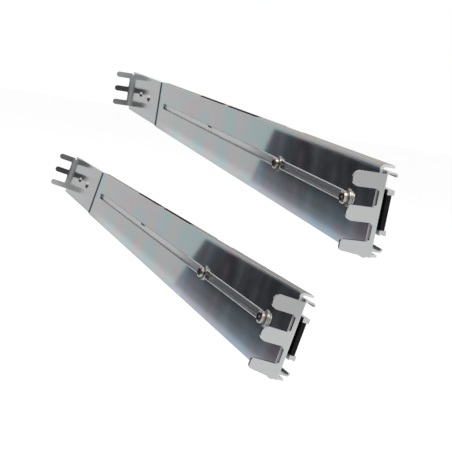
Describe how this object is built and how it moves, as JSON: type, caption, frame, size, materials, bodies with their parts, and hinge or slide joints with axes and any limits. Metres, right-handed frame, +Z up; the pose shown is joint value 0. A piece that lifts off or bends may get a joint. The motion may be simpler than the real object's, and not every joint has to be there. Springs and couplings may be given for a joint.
{
  "type": "sliding server rail pair",
  "caption": "Pair of slim zinc-plated server rails with forked rack flanges, a screw-set rear extension for rack depth and ball-bearing slides for the server.",
  "frame": {"origin": "front face of the first rail's front flange, in the plane of the channel's outer face, at the middle hole of the rack unit", "axes": "+X to the front along the first rail, +Y inward to the server, +Z up"},
  "size_m": [0.6697, 0.0853, 0.1521],
  "materials": {
    "zinc_steel": "bright clear zinc",
    "slide_steel": "clear zinc",
    "nickel_steel": "bright nickel",
    "cage_steel": "satin",
    "ball_steel": "polished",
    "black_nylon": "matte",
    "black_rubber": "matte",
    "black_foam": "matte"
  },
  "bodies": {
    "fixed_rails": {"rail1_channel": "zinc_steel", "rail1_front_bracket": "zinc_steel", "rail1_weld_studs": "slide_steel", "rail1_outer_member": "slide_steel", "rail1_rear_stop": "black_rubber", "rail1_damping_pad": "black_foam", "rail2_channel": "zinc_steel", "rail2_front_bracket": "zinc_steel", "rail2_weld_studs": "slide_steel", "rail2_outer_member": "slide_steel", "rail2_rear_stop": "black_rubber", "rail2_damping_pad": "black_foam"},
    "rail1_extension": {"rail1_rear_extension": "zinc_steel", "rail1_rear_bracket": "zinc_steel", "rail1_rear_rivets": "nickel_steel", "rail1_adjusting_screws": "nickel_steel", "rail1_lock_washers": "nickel_steel", "rail1_flat_washers": "nickel_steel"},
    "rail1_middle": {"rail1_middle_member": "slide_steel", "rail1_race_bars": "slide_steel"},
    "rail1_inner": {"rail1_inner_member": "slide_steel", "rail1_front_bumper": "black_nylon", "rail1_lever_pin": "nickel_steel"},
    "rail1_lever": {"rail1_release_lever": "black_nylon"},
    "rail1_outer_cage": {"rail1_outer_ball_cage": "cage_steel", "rail1_outer_balls": "ball_steel"},
    "rail1_inner_cage": {"rail1_inner_ball_cage": "cage_steel", "rail1_inner_balls": "ball_steel"},
    "rail2_extension": {"rail2_rear_extension": "zinc_steel", "rail2_rear_bracket": "zinc_steel", "rail2_rear_rivets": "nickel_steel", "rail2_adjusting_screws": "nickel_steel", "rail2_lock_washers": "nickel_steel", "rail2_flat_washers": "nickel_steel"},
    "rail2_middle": {"rail2_middle_member": "slide_steel", "rail2_race_bars": "slide_steel"},
    "rail2_inner": {"rail2_inner_member": "slide_steel", "rail2_front_bumper": "black_nylon", "rail2_lever_pin": "nickel_steel"},
    "rail2_lever": {"rail2_release_lever": "black_nylon"},
    "rail2_outer_cage": {"rail2_outer_ball_cage": "cage_steel", "rail2_outer_balls": "ball_steel"},
    "rail2_inner_cage": {"rail2_inner_ball_cage": "cage_steel", "rail2_inner_balls": "ball_steel"}
  },
  "joints": [
    {"name": "rail1_depth", "type": "slide", "parent": "fixed_rails", "child": "rail1_extension", "axis": [1, 0, 0], "range_m": [-0.325, 0]},
    {"name": "rail1_middle_slide", "type": "slide", "parent": "fixed_rails", "child": "rail1_middle", "axis": [1, 0, 0], "range_m": [0, 0.23]},
    {"name": "rail1_inner_slide", "type": "slide", "parent": "rail1_middle", "child": "rail1_inner", "axis": [1, 0, 0], "range_m": [0, 0.23]},
    {"name": "rail1_outer_cage_roll", "type": "slide", "parent": "fixed_rails", "child": "rail1_outer_cage", "axis": [1, 0, 0], "range_m": [0, 0.115]},
    {"name": "rail1_inner_cage_roll", "type": "slide", "parent": "rail1_middle", "child": "rail1_inner_cage", "axis": [1, 0, 0], "range_m": [0, 0.115]},
    {"name": "rail1_lever_pivot", "type": "hinge", "parent": "rail1_inner", "child": "rail1_lever", "pos_m": [-0.36, 0.0074, 0], "axis": [0, 1, 0], "range_deg": [0, 4], "stiffness_Nm_per_rad": 0.05},
    {"name": "rail2_depth", "type": "slide", "parent": "fixed_rails", "child": "rail2_extension", "axis": [0.9969, 0.0444, 0.0645], "range_m": [-0.325, 0]},
    {"name": "rail2_middle_slide", "type": "slide", "parent": "fixed_rails", "child": "rail2_middle", "axis": [0.9969, 0.0444, 0.0645], "range_m": [0, 0.23]},
    {"name": "rail2_inner_slide", "type": "slide", "parent": "rail2_middle", "child": "rail2_inner", "axis": [0.9969, 0.0444, 0.0645], "range_m": [0, 0.23]},
    {"name": "rail2_outer_cage_roll", "type": "slide", "parent": "fixed_rails", "child": "rail2_outer_cage", "axis": [0.9969, 0.0444, 0.0645], "range_m": [0, 0.115]},
    {"name": "rail2_inner_cage_roll", "type": "slide", "parent": "rail2_middle", "child": "rail2_inner_cage", "axis": [0.9969, 0.0444, 0.0645], "range_m": [0, 0.115]},
    {"name": "rail2_lever_pivot", "type": "hinge", "parent": "rail2_inner", "child": "rail2_lever", "pos_m": [-0.36941, -0.03446, -0.09052], "axis": [-0.0296, 0.9763, -0.2143], "range_deg": [0, 4], "stiffness_Nm_per_rad": 0.05}
  ],
  "couplings": [
    {"joint": "rail1_outer_cage_roll", "follows": "rail1_middle_slide", "ratio": 0.5},
    {"joint": "rail1_inner_cage_roll", "follows": "rail1_inner_slide", "ratio": 0.5},
    {"joint": "rail2_outer_cage_roll", "follows": "rail2_middle_slide", "ratio": 0.5},
    {"joint": "rail2_inner_cage_roll", "follows": "rail2_inner_slide", "ratio": 0.5}
  ]
}
